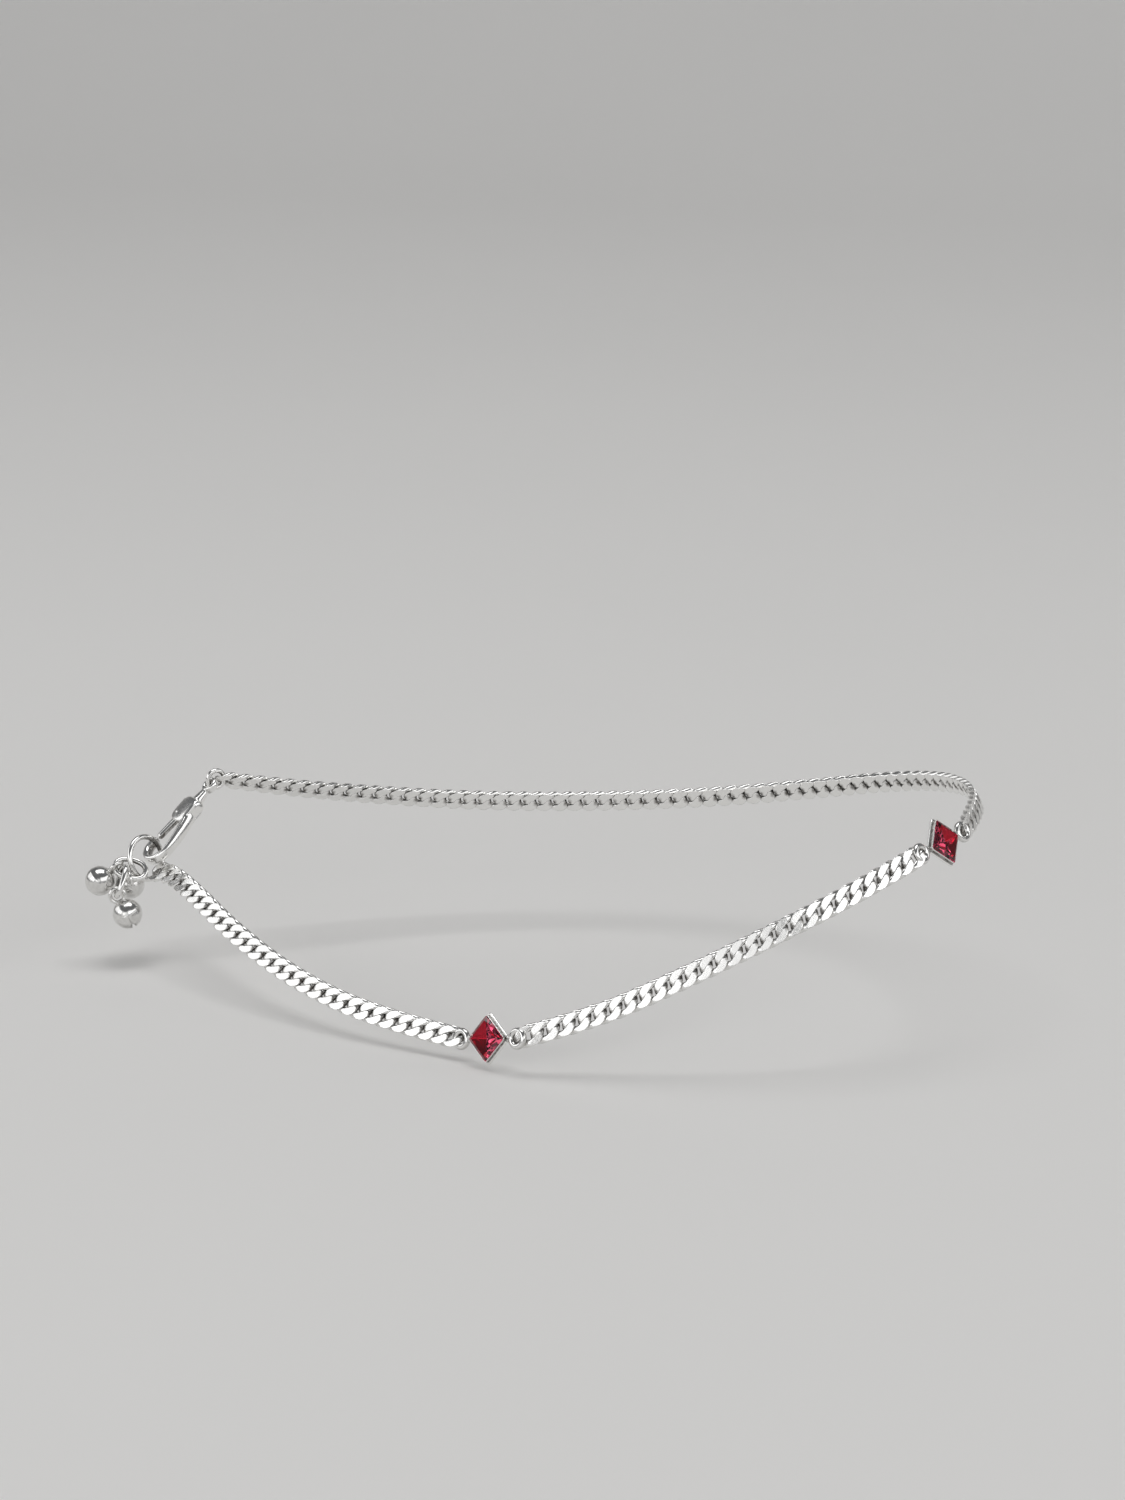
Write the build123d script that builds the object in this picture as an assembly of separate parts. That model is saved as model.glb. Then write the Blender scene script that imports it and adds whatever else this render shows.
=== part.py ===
from build123d import *
import os
from math import atan, cos, degrees, radians, sin, sqrt, tan

# A worn anklet (payal). Millimetres, +Z up, +X from the heel to the front of the ankle,
# -Y the outer side of the leg. The origin is the middle of the ankle's hollow.

# Curb chain, as the tube that its links fill
CHAIN_WIDTH = 2.7
CHAIN_MID_HEIGHT = 0.65  # height of the chain's middle above the skin
ARC_SHARE = 0.45  # part of the shorter run that an arc of the route takes up

# Square stone stations
SETTING_SIDE = 4.2
CUP_BASE = 0.3  # height of the cup's underside above the skin
CUP_RIM = 1.3
FLANGE_OUT = 0.2
FLANGE_HEIGHT = 0.3
FLOOR_THICKNESS = 0.25
BEZEL_WALL = 0.15
STONE_GAP = 0.05
GIRDLE_HEIGHT = 1.2
STONE_TOP = 1.65
TABLE_SIDE = 3.0
CULET_SIDE = 0.5
CULET_HEIGHT = 0.62
LOOP_REACH = 4.55  # from the middle of a station to the middle of its soldered loop
LOOP_OUTER = 2.6
LOOP_WIRE = 0.7

# Rings, links and bells
JUMP_OUTER = 6.2
JUMP_WIRE = 0.7
CLASP_RING_OUTER = 2.9
CLASP_RING_WIRE = 0.6
LINK_LENGTH = 4.7
LINK_WIDTH = 3.3
LINK_WIRE = 0.72
BELL_RADIUS = 1.9
BELL_WALL = 0.3
BELL_SLIT = 0.45
BELL_LOOP_OUTER = 2.25
BELL_LOOP_WIRE = 0.4
BELL_LOOP_RISE = 2.7  # from the middle of the bell to the middle of its loop

# Lobster clasp, in its own frame: X to the jaw, Y to the spine, Z outwards from the leg
BODY_THICK = 2.0
EYE_THICK = 1.0
LEVER_THICK = 0.8
SLOT_WIDTH = 1.0
HOOK_WIDTH = 1.3
EYE_X = -5.3
EYE_OUTER = 2.2
EYE_HOLE = 1.2
PIVOT = (0.0, -0.7)
PIN_RADIUS = 0.3
PIN_CLEARANCE = 0.05
LEVER_ROOT_RADIUS = 0.85
LEVER_TIP = (4.1, -1.33)
LEVER_WIDTH = 1.0
THUMB_TAB = (-1.9, -2.2)
HOOK_TIP = (5.15, -1.4)
HOOK_LIP = (4.35, -1.42)  # end of the jaw, where the closed lever rests
HOOK_CREST = (5.2, 2.4)

# Where the pieces sit: a middle, a direction along the piece and the way its face looks
SIDE_STATION = ((-0.7, -31.2, -10.9), (0.855, -0.474, 0.208), (-0.516, -0.813, 0.270))
FRONT_STATION = ((50.7, -13.1, 11.3), (0.437, 0.896, 0.076), (0.791, -0.423, 0.442))
JUMP_RING_SEAT = ((-53.56, 4.53, -1.21), (0.555, 0.816, -0.164), (0.818, -0.498, 0.288))
CLASP_RING_SEAT = ((-46.21, 12.39, 7.57), (-0.558, -0.463, -0.689), (0.651, -0.759, -0.017))
CLASP_SEAT = ((-46.82, 11.88, 6.82), (-0.558, -0.463, -0.689), (-0.515, -0.458, 0.725))
LINK_SEATS = {
    "drop_link_1": ((-55.04, 2.26, -2.11), (0.954, 0.167, -0.248), (0.289, -0.726, 0.624)),
    "drop_link_2": ((-55.80, 0.47, -3.29), (0.102, 0.619, 0.779), (0.876, 0.315, -0.365)),
}
# Bells: the middle of the ball and of its loop, and the way the loop's hole looks
BELL_SEATS = {
    "bell_low": ((-54.92, -0.13, -7.30), (-56.15, -0.19, -4.99), (0.273, -0.954, 0.120)),
    "bell_right": ((-55.63, 3.79, -4.60), (-54.95, 1.64, -3.26), (0.887, 0.410, 0.210)),
    "bell_left": ((-58.76, 1.24, -3.53), (-56.80, 1.77, -1.87), (-0.653, 0.402, 0.641)),
}

# Where the chain at the heel begins, just inside the jump ring's wire, and the middle
# points of the chain's routes between their ends
HEEL_START = (-50.78, 4.84, -2.82)
HEEL_ROUTE = [
    (-45.0, -2.7, -3.6),
    (-37.8, -10.5, -6.2),
    (-28.4, -18.3, -9.0),
    (-17.0, -25.2, -11.0),
]
SIDE_ROUTE = [
    (12.0, -32.9, -7.0),
    (21.0, -31.8, -2.6),
    (30.0, -30.1, 2.0),
    (38.5, -27.2, 6.3),
    (45.4, -22.6, 9.6),
]
FAR_ROUTE = [
    (54.2, -1.0, 12.8),
    (52.4, 8.5, 12.4),
    (47.4, 18.0, 10.8),
    (39.5, 25.6, 8.2),
    (29.0, 30.6, 5.3),
    (17.0, 33.0, 3.0),
    (5.0, 33.0, 1.8),
    (-7.0, 31.2, 1.5),
    (-18.0, 27.8, 2.1),
    (-28.5, 23.0, 3.6),
    (-37.5, 17.0, 5.6),
]


def seat(placing):
    """Plane at a piece's middle, its X along the piece and its Z the way the face looks."""
    middle, along, outward = placing
    return Plane(origin=middle, x_dir=along, z_dir=outward)


def arc_radii(points):
    """Radius of the arc at each corner of a route, as large as its two runs allow."""
    radii = []
    for before, corner, after in zip(points, points[1:], points[2:]):
        first = corner - before
        second = after - corner
        half_turn = radians(first.get_angle(second)) / 2
        radii.append(ARC_SHARE * min(first.length, second.length) / tan(half_turn))
    return radii


def chain_tube(name, points):
    """The chain as one round tube along straight runs joined by tangent arcs."""
    corners = [Vector(*point) for point in points]
    radii = arc_radii(corners)
    path = FilletPolyline(*corners, radius=radii)
    section = Plane(origin=path @ 0, z_dir=path % 0) * Circle(CHAIN_WIDTH / 2)
    tube = sweep(section, path=path)
    exact = path.length * section.area
    print(f"{name}: length {path.length:.1f}, radii {[round(r) for r in radii]}")
    print(f"  runs {[round((b - a).length, 1) for a, b in zip(corners, corners[1:])]}")
    print(f"  volume {tube.volume:.1f} against section x length {exact:.1f}")
    return tube


def beside(centre, toward, reach):
    """Point at a distance from a centre, towards the next point of a route."""
    start = Vector(*centre)
    way = (Vector(*toward) - start).normalized()
    return tuple(start + way * reach)


def loop_centre(placing, side):
    """Middle of a station's soldered loop, on its left (-1) or right (+1)."""
    plane = seat(placing)
    return tuple(plane.from_local_coords((side * LOOP_REACH, 0, CHAIN_MID_HEIGHT)))


def round_ring(outer, wire, placing):
    """Closed round ring lying in its seat's plane."""
    return seat(placing) * Torus((outer - wire) / 2, wire / 2)


def oval_link(placing):
    """Closed oval link: a wire carried round two straights and two half circles."""
    bend = (LINK_WIDTH - LINK_WIRE) / 2
    straight = (LINK_LENGTH - LINK_WIDTH) / 2
    right = CenterArc((straight, 0), bend, -90, 180)
    left = CenterArc((-straight, 0), bend, 90, 180)
    top = Line((straight, bend), (-straight, bend))
    bottom = Line((-straight, -bend), (straight, -bend))
    path = Wire([bottom, right, top, left])
    section = Plane(origin=(-straight, -bend, 0), z_dir=(1, 0, 0)) * Circle(LINK_WIRE / 2)
    return seat(placing) * sweep(section, path=path)


def square(side):
    """Square whose corners lie along the chain and across it."""
    return Rot(0, 0, 45) * Rectangle(side, side)


def setting(placing):
    """Closed square cup with a base rim, and a soldered loop at each side corner."""
    flange = extrude(square(SETTING_SIDE + 2 * FLANGE_OUT), FLANGE_HEIGHT)
    wall = extrude(square(SETTING_SIDE), CUP_RIM - CUP_BASE)
    hollow = extrude(square(SETTING_SIDE - 2 * BEZEL_WALL), CUP_RIM - CUP_BASE)
    cup = Pos(0, 0, CUP_BASE) * (flange + wall - Pos(0, 0, FLOOR_THICKNESS) * hollow)
    corner = (SETTING_SIDE / 2 + FLANGE_OUT) * sqrt(2)
    for side in (-1, 1):
        ring = Torus((LOOP_OUTER - LOOP_WIRE) / 2, LOOP_WIRE / 2)
        cup += Pos(side * LOOP_REACH, 0, CHAIN_MID_HEIGHT) * ring
        solder = Box(0.9, 0.8, LOOP_WIRE)
        cup += Pos(side * (corner + 0.1), 0, CHAIN_MID_HEIGHT) * solder
    return seat(placing) * cup


def stone(placing):
    """Square stone: a bevelled crown with a flat table over a deep four-sided back."""
    girdle_side = SETTING_SIDE - 2 * BEZEL_WALL - 2 * STONE_GAP
    girdle = Pos(0, 0, GIRDLE_HEIGHT) * square(girdle_side)
    table = Pos(0, 0, STONE_TOP) * square(TABLE_SIDE)
    culet = Pos(0, 0, CULET_HEIGHT) * square(CULET_SIDE)
    crown = loft([girdle, table])
    pavilion = loft([culet, girdle])
    return seat(placing) * (crown + pavilion)


def bell(ball_middle, loop_middle, loop_axis):
    """Hollow round bell with a slit across its foot and a soldered wire loop."""
    up = Vector(*loop_middle) - Vector(*ball_middle)
    plane = Plane(origin=loop_middle, x_dir=loop_axis, z_dir=up)
    ring = Torus((BELL_LOOP_OUTER - BELL_LOOP_WIRE) / 2, BELL_LOOP_WIRE / 2)
    ball = Sphere(BELL_RADIUS) + Pos(0, 0, BELL_LOOP_RISE) * (Rot(0, 90, 0) * ring)
    slit = Pos(0, 0, -BELL_RADIUS) * Box(1.5 * BELL_RADIUS, BELL_SLIT, 1.3 * BELL_RADIUS)
    hollow = Sphere(BELL_RADIUS - BELL_WALL) + slit
    return plane * (Pos(0, 0, -BELL_LOOP_RISE) * (ball - hollow))


def hook_outline():
    """Hook of the clasp: its spine and jaw as one band of even width."""
    spine = ThreePointArc((-0.6, 0.9), (2.4, 2.15), HOOK_CREST)
    jaw = TangentArc(HOOK_CREST, HOOK_TIP, tangent=spine % 1)
    lip = Line(HOOK_TIP, HOOK_LIP)
    return trace([spine, jaw, lip], line_width=HOOK_WIDTH)


def clasp_body():
    """Clasp body: eye, neck, slotted shoulder with the lever's pin, spine and jaw."""
    shoulder = Pos(-0.75, 0.0) * RectangleRounded(3.9, 3.3, 0.9)
    neck = Pos(-3.3, 0) * Rectangle(2.6, 1.2)
    body = extrude(hook_outline() + shoulder, BODY_THICK / 2, both=True)
    rim = body.edges().filter_by(lambda edge: abs(abs(edge.center().Z) - BODY_THICK / 2) < 1e-3)
    body = fillet(rim, 0.4)
    eye = extrude(Pos(EYE_X, 0) * Circle(EYE_OUTER / 2) + neck, EYE_THICK / 2, both=True)
    hole = Pos(EYE_X, 0, 0) * Cylinder(EYE_HOLE / 2, BODY_THICK)
    slot = Pos(-0.2, -1.4, 0) * Box(4.4, 3.4, SLOT_WIDTH)
    pin = Pos(*PIVOT, 0) * Cylinder(PIN_RADIUS, BODY_THICK - 0.2)
    return body + eye - hole - slot + pin


def clasp_lever():
    """Lever: root bored for the pin, arm to the hook's tip, and thumb tab."""
    arm = trace(Line((0.3, -0.95), LEVER_TIP), line_width=LEVER_WIDTH)
    tab = trace(Line((PIVOT[0] - 0.2, PIVOT[1] - 0.3), THUMB_TAB), line_width=0.8)
    root = Pos(*PIVOT) * Circle(LEVER_ROOT_RADIUS)
    blank = extrude(root + arm + tab, LEVER_THICK / 2, both=True)
    bore = Pos(*PIVOT, 0) * Cylinder(PIN_RADIUS + PIN_CLEARANCE, LEVER_THICK * 2)
    return blank - bore


def chain_nodes():
    """The three stretches of chain, each ending just short of the ring it joins."""
    loop_gap = LOOP_OUTER / 2 + 0.2
    clasp_gap = CLASP_RING_OUTER / 2 + 0.25
    side_left = loop_centre(SIDE_STATION, -1)
    side_right = loop_centre(SIDE_STATION, 1)
    front_left = loop_centre(FRONT_STATION, -1)
    front_right = loop_centre(FRONT_STATION, 1)
    heel = [HEEL_START] + HEEL_ROUTE
    heel += [beside(side_left, HEEL_ROUTE[-1], loop_gap)]
    side = [beside(side_right, SIDE_ROUTE[0], loop_gap)] + SIDE_ROUTE
    side += [beside(front_left, SIDE_ROUTE[-1], loop_gap)]
    far = [beside(front_right, FAR_ROUTE[0], loop_gap)] + FAR_ROUTE
    far += [beside(CLASP_RING_SEAT[0], FAR_ROUTE[-1], clasp_gap)]
    return {
        "chain_heel": chain_tube("chain_heel", heel),
        "chain_side": chain_tube("chain_side", side),
        "chain_far": chain_tube("chain_far", far),
    }


def build():
    """Every node of the anklet, by name."""
    nodes = chain_nodes()
    nodes["setting_side"] = setting(SIDE_STATION)
    nodes["setting_front"] = setting(FRONT_STATION)
    nodes["stone_side"] = stone(SIDE_STATION)
    nodes["stone_front"] = stone(FRONT_STATION)
    nodes["jump_ring"] = round_ring(JUMP_OUTER, JUMP_WIRE, JUMP_RING_SEAT)
    nodes["clasp_ring"] = round_ring(CLASP_RING_OUTER, CLASP_RING_WIRE, CLASP_RING_SEAT)
    clasp_plane = seat(CLASP_SEAT)
    to_eye = Pos(-EYE_X, 0, 0)
    nodes["clasp_body"] = clasp_plane * (to_eye * clasp_body())
    nodes["clasp_lever"] = clasp_plane * (to_eye * clasp_lever())
    for name, placing in LINK_SEATS.items():
        nodes[name] = oval_link(placing)
    for name, placing in BELL_SEATS.items():
        nodes[name] = bell(*placing)
    return nodes


def main():
    os.makedirs("parts", exist_ok=True)
    for name, shape in build().items():
        export_step(shape, f"parts/{name}.step")
    pivot = seat(CLASP_SEAT).from_local_coords((PIVOT[0] - EYE_X, PIVOT[1], 0))
    print("lever pivot", [round(value, 3) for value in tuple(pivot)])


main()
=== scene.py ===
"""Worn payal anklet: curb chain, two square red stones, lobster clasp, rings and small bells."""

from math import pi, radians
from types import SimpleNamespace

import bmesh
import bpy
import numpy as np
from mathutils import Matrix, Vector


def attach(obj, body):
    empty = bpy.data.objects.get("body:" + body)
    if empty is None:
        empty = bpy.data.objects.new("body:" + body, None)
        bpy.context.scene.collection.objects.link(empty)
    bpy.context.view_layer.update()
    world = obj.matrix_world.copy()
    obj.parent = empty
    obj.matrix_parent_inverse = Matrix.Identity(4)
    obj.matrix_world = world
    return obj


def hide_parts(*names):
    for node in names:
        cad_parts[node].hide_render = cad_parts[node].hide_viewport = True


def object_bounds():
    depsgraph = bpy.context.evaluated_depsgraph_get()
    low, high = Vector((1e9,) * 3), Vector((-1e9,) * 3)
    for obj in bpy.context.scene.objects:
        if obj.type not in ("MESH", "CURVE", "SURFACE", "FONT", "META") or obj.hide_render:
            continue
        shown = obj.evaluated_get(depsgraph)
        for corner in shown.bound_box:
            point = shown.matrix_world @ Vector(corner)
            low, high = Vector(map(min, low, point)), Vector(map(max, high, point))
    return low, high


bl_info = {
    "name": "Worn Payal Anklet",
    "version": (1, 0, 0),
    "blender": (4, 5, 0),
    "location": "View3D > Sidebar > Anklet",
    "description": "Silver curb chain anklet with square red stones, a lobster clasp and bells",
    "category": "Add Mesh",
}

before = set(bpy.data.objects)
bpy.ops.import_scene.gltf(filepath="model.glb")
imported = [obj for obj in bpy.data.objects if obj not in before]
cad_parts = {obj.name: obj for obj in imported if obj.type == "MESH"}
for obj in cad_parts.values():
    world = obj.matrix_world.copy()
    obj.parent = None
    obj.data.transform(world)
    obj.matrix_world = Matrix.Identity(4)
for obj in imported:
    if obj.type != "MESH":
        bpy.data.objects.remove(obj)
CAD_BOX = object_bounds()

# Lengths are in millimetres and turned into metres as a mesh is made. The stage's are metres.
MM = 0.001
BODY = "anklet"
LEVER_BODY = "lever"

# Seats of the pieces: a middle, a direction along the piece, and the way its face looks
STATIONS = {
    "side": ((-0.7, -31.2, -10.9), (0.855, -0.474, 0.208), (-0.516, -0.813, 0.270)),
    "front": ((50.7, -13.1, 11.3), (0.437, 0.896, 0.076), (0.791, -0.423, 0.442)),
}
JUMP_RING_SEAT = ((-53.56, 4.53, -1.21), (0.555, 0.816, -0.164), (0.818, -0.498, 0.288))
END_RING_SEAT = ((-46.21, 12.39, 7.57), (-0.558, -0.463, -0.689), (0.651, -0.759, -0.017))
CLASP_SEAT = ((-46.82, 11.88, 6.82), (-0.558, -0.463, -0.689), (-0.515, -0.458, 0.725))
LINK_SEATS = {
    "drop_link_1": ((-55.04, 2.26, -2.11), (0.954, 0.167, -0.248), (0.289, -0.726, 0.624)),
    "drop_link_2": ((-55.80, 0.47, -3.29), (0.102, 0.619, 0.779), (0.876, 0.315, -0.365)),
}
# Bells: the middle of the ball and of its loop, and the way the loop's hole looks
BELL_SEATS = {
    "bell_low": ((-54.92, -0.13, -7.30), (-56.15, -0.19, -4.99), (0.273, -0.954, 0.120)),
    "bell_right": ((-55.63, 3.79, -4.60), (-54.95, 1.64, -3.26), (0.887, 0.410, 0.210)),
    "bell_left": ((-58.76, 1.24, -3.53), (-56.80, 1.77, -1.87), (-0.653, 0.402, 0.641)),
}

# Control points of the chain's three routes between their ends, and how many degrees the
# flat face leans up at even shares of a route's length
HEEL_ROUTE = [
    (-50.78, 4.84, -2.82),
    (-45.0, -2.7, -3.6),
    (-37.8, -10.5, -6.2),
    (-28.4, -18.3, -9.0),
    (-17.0, -25.2, -11.0),
]
HEEL_LEAN = (44, 42, 34, 26, 20, 16)
SIDE_ROUTE = [
    (12.0, -32.9, -7.0),
    (21.0, -31.8, -2.6),
    (30.0, -30.1, 2.0),
    (38.5, -27.2, 6.3),
    (45.4, -22.6, 9.6),
]
SIDE_LEAN = (15.7, 16, 17, 18, 21, 25, 26)
FAR_ROUTE = [
    (54.2, -1.0, 12.8),
    (52.4, 8.5, 12.4),
    (47.4, 18.0, 10.8),
    (39.5, 25.6, 8.2),
    (29.0, 30.6, 5.3),
    (17.0, 33.0, 3.0),
    (5.0, 33.0, 1.8),
    (-7.0, 31.2, 1.5),
    (-18.0, 27.8, 2.1),
    (-28.5, 23.0, 3.6),
    (-37.5, 17.0, 5.6),
]
FAR_LEAN = (26, 30, 29, 27, 24, 21, 20, 20, 22, 25, 30, 36, 42)

# An end link may cross its ring this far off square, and the links next to it take up these
# shares of its roll
CROSSING_PLAY = radians(30)
ROLL_SHARES = np.array([1.0, 0.32, 0.06, 0.0])
# Exponent of the soft clamp that presses a link's shoulders flat
PRESS = 20

# A cup's loops: where their middles stand, their middle line's radius, half their wire, and
# the play that a chain's end wire has in them
LOOP_REACH = 4.55
LOOP_HEIGHT = 0.65
LOOP_RADIUS = 0.95
LOOP_HALF_WIRE = 0.40
LOOP_PLAY = 0.01
# Solder that joins a loop to its cup: where its middle stands, and its half sizes
SOLDER_REACH = 3.28
SOLDER_HEIGHT = 0.60
SOLDER_HALF = (0.62, 0.5, 0.33)
# A cup's outline from the middle of its floor, over its lip, to the middle of its back: half
# side, height, exponent of its soft square, and darkness, which is painted shade on the outer wall
# under the lip
CUP_OUTLINE = (
    (0.001, 0.56, 18, 0.0),
    (0.15, 0.56, 18, 0.0),
    (0.95, 0.80, 18, 0.0),
    (1.80, 1.06, 18, 0.0),
    (1.98, 1.14, 18, 0.0),
    (2.01, 1.18, 18, 0.0),
    (2.012, 1.22, 18, 0.0),
    (2.018, 1.255, 18, 0.0),
    (2.035, 1.275, 18, 0.0),
    (2.06, 1.285, 18, 0.0),
    (2.085, 1.275, 18, 0.0),
    (2.10, 1.25, 18, 0.05),
    (2.105, 1.20, 18, 0.3),
    (2.10, 1.05, 18, 0.8),
    (2.095, 0.90, 16, 1.0),
    (2.10, 0.82, 15, 1.0),
    (2.14, 0.785, 14, 0.6),
    (2.20, 0.79, 13, 0.1),
    (2.27, 0.77, 12, 0.0),
    (2.33, 0.71, 12, 0.0),
    (2.355, 0.62, 12, 0.0),
    (2.33, 0.53, 12, 0.0),
    (2.27, 0.47, 12, 0.0),
    (2.18, 0.44, 12, 0.0),
    (1.2, 0.42, 9, 0.0),
    (0.001, 0.42, 9, 0.0),
)

# The clasp is drawn lying along X, with the middles of its eye and its pin here; its eye is
# what its seat places
CLASP_EYE = (-5.3, 0, 0)
CLASP_PIN = (0, -0.7, 0)
HOOK_KNOTS = (
    (-1.5, 0.35), (-0.5, 0.95), (0.9, 1.62), (2.4, 2.13), (4.0, 2.42), (5.3, 2.38),
    (6.45, 1.85), (7.05, 0.75), (6.95, -0.35), (6.2, -1.2), (5.4, -1.42), (4.69, -1.42),
)
# Shares of a line's length, and the half width or half height of its tube there
HOOK_HALF_WIDTHS = ((0, 0.75), (0.12, 0.64), (0.35, 0.52), (0.6, 0.52), (0.8, 0.54), (1, 0.5))
HOOK_HALF_HEIGHTS = ((0, 1.0), (0.2, 0.86), (0.5, 0.72), (0.8, 0.70), (1, 0.64))
ARM_KNOTS = ((-0.1, -0.78), (1.2, -1.02), (2.6, -1.2), (3.7, -1.3))
TAB_KNOTS = ((-0.2, -1.0), (-0.9, -1.62), (-1.55, -2.05), (-2.0, -2.12))
TAB_HALF_WIDTHS = ((0, 0.42), (0.6, 0.34), (1, 0.36))
# Grain of the skin that melts the clasp's parts into one, and how often the skin is eased
CAST_VOXEL = 0.075
CAST_EASING = 5
# Two ends of the line through the clasp's hollow, seen from its seat
CLASP_HOLLOW = ((5.6, 0.3, 0), (11.0, 0.3, 0))

# How far the middle of a bell's loop stands over the middle of its ball
BELL_RISE = 2.7
# Latitude at which a bell's slit ends
SLIT_END = 0.82

# Silver finishes: roughness at the smoothest and the roughest, and depth of the scratches
SILVER_FINISHES = {
    "bright silver chain": (0.10, 0.22, 0.25),
    "soldered silver cup": (0.09, 0.20, 0.22),
    "polished silver findings": (0.08, 0.19, 0.25),
    "pressed silver bell": (0.08, 0.18, 0.30),
}
STONE_FINISH = "red cut stone"
PAPER_FINISH = "pale paper"

# The stage is in metres. Softboxes look at the origin: place, width, height and power
FLOOR_GAP = 0.0004
SWEEP_RADIUS = 0.4
SOFTBOXES = {
    "left softbox": ((-0.92, -0.08, 0.38), 1.0, 0.50, 1.6),
    "front left softbox": ((-0.70, -0.64, 0.31), 0.50, 0.42, 0.85),
    "low front softbox": ((-0.28, -0.93, 0.24), 0.42, 0.42, 0.70),
    "front fill": ((0.083, -0.953, 0.292), 0.30, 0.42, 0.32),
    "front right softbox": ((0.56, -0.72, 0.42), 0.65, 0.50, 1.3),
    "right softbox": ((0.90, -0.13, 0.42), 0.90, 0.50, 1.8),
    "top softbox": ((-0.05, 0.10, 0.95), 0.8, 0.5, 3.3),
}
ROOM_COLOUR = (0.48, 0.49, 0.50, 1)
ROOM_LIGHT = 0.28
# The camera's own right and up, its place, and how far it steps aside to the left
CAMERA_RIGHT = (0.98163, 0.19081, 0.0)
CAMERA_UP = (-0.04939, 0.25407, 0.96593)
CAMERA_PLACE = (0.1403, -0.6423, 0.1932)
CAMERA_STEP = 0.0134
CAMERA_LENS = 130.7


# ------------------------------------------------------------------ settings a user would change


def length(name, description, default):
    """A length setting, given in millimetres and kept in metres."""
    return bpy.props.FloatProperty(
        name=name, description=description, default=default * MM, unit="LENGTH", precision=5
    )


def colour(name, description, default):
    """A colour setting."""
    return bpy.props.FloatVectorProperty(
        name=name, description=description, default=default, subtype="COLOR", size=3
    )


class AnkletChainSettings(bpy.types.PropertyGroup):
    """Sizes of the chain and of its links"""

    half_length: length("Half length", "Half the length of a link's middle line", 1.43)
    half_width: length("Half width", "Half the width of a link's middle line", 0.92)
    twist: length("Twist", "How far a link's shoulders rise out of its plane", 0.57)
    wire: length("Wire", "Thickness of a link's wire", 0.88)
    flat: length("Flat", "Height of the cut flats over the chain's middle", 0.38)
    spread: length("Spread", "How far the pressed shoulders widen each way", 0.06)
    slant: bpy.props.FloatProperty(
        name="Slant", description="How far a link leans along the chain for its width",
        default=0.30, subtype="FACTOR", min=0.0, max=1.0,
    )
    pitch: length("Pitch", "Distance from one link to the next", 1.98)


class AnkletStoneSettings(bpy.types.PropertyGroup):
    """Size and colour of the stones"""

    half_side: length("Half side", "Half the side of the stone's girdle", 2.0)
    table: length("Half table", "Half the side of the stone's flat top", 1.52)
    tint: colour("Tint", "Colour of the stone", (0.77, 0.10, 0.18))


class AnkletFindingsSettings(bpy.types.PropertyGroup):
    """Sizes of the two rings and of the drop's oval links"""

    jump_radius: length("Jump ring", "Radius of the jump ring's middle line", 2.75)
    jump_wire: length("Jump ring's wire", "Thickness of the jump ring's wire", 0.70)
    end_radius: length("End ring", "Radius of the middle line of the clasp's end ring", 1.15)
    end_wire: length("End ring's wire", "Thickness of the end ring's wire", 0.60)
    oval_length: length("Oval length", "Length of an oval link's middle line", 3.98)
    oval_width: length("Oval width", "Width of an oval link's middle line", 2.58)
    oval_wire: length("Oval link's wire", "Thickness of an oval link's wire", 0.71)


class AnkletBellSettings(bpy.types.PropertyGroup):
    """Sizes of the bells"""

    radius: length("Radius", "Outer radius of a bell's ball", 1.9)
    wall: length("Wall", "Thickness of the ball's wall", 0.3)
    slit: length("Slit", "Width of the slit", 0.47)
    loop_radius: length("Loop", "Radius of the loop's middle line", 0.925)
    loop_wire: length("Loop's wire", "Thickness of the loop's wire", 0.52)


class AnkletMetalSettings(bpy.types.PropertyGroup):
    """Colours of the silver"""

    silver: colour("Silver", "Colour of clean polished silver", (0.93, 0.925, 0.91))
    # The second colour is the silver's tarnish together with the painted shade of its hollows
    tarnish_and_shade_colour: colour("Tarnish", "Colour of the silver in its hollows", (0.10, 0.09, 0.078))


class AnkletStageSettings(bpy.types.PropertyGroup):
    """Colour of the stage"""

    floor: colour("Floor", "Colour of the floor and backdrop", (0.87, 0.86, 0.845))


SETTINGS = {
    "anklet_chain": AnkletChainSettings,
    "anklet_stone": AnkletStoneSettings,
    "anklet_findings": AnkletFindingsSettings,
    "anklet_bell": AnkletBellSettings,
    "anklet_metal": AnkletMetalSettings,
    "anklet_stage": AnkletStageSettings,
}


def setting_names(group):
    """Names of a group's own settings."""
    return [name for name in group.bl_rna.properties.keys() if name not in ("rna_type", "name")]


def in_mm(group):
    """A group's values by name, with its lengths in millimetres."""
    values = {name: getattr(group, name) for name in setting_names(group)}
    for name in values:
        if group.bl_rna.properties[name].unit == "LENGTH":
            values[name] /= MM
    return SimpleNamespace(**values)


# ------------------------------------------------------------------ surface mathematics


def unit(vectors):
    """Vectors divided by their own lengths."""
    vectors = np.asarray(vectors, float)
    return vectors / np.linalg.norm(vectors, axis=-1, keepdims=True)


def full_turn(count):
    """Even angles once round, from 0."""
    return np.linspace(0, 2 * pi, count, endpoint=False)


def seat_axes(placing):
    """Origin and three axes of a seat: Z the way its face looks, X the direction along its
    piece with its part on Z taken away."""
    origin, way, face = (np.array(part, float) for part in placing)
    z = unit(face)
    x = unit(way - z * (way @ z))
    return origin, np.stack([x, np.cross(z, x), z])


def placed(points, placing):
    """Local points carried to a seat: origin plus x, y and z times the seat's axes."""
    origin, axes = seat_axes(placing)
    return origin + np.asarray(points, float) @ axes


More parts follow.
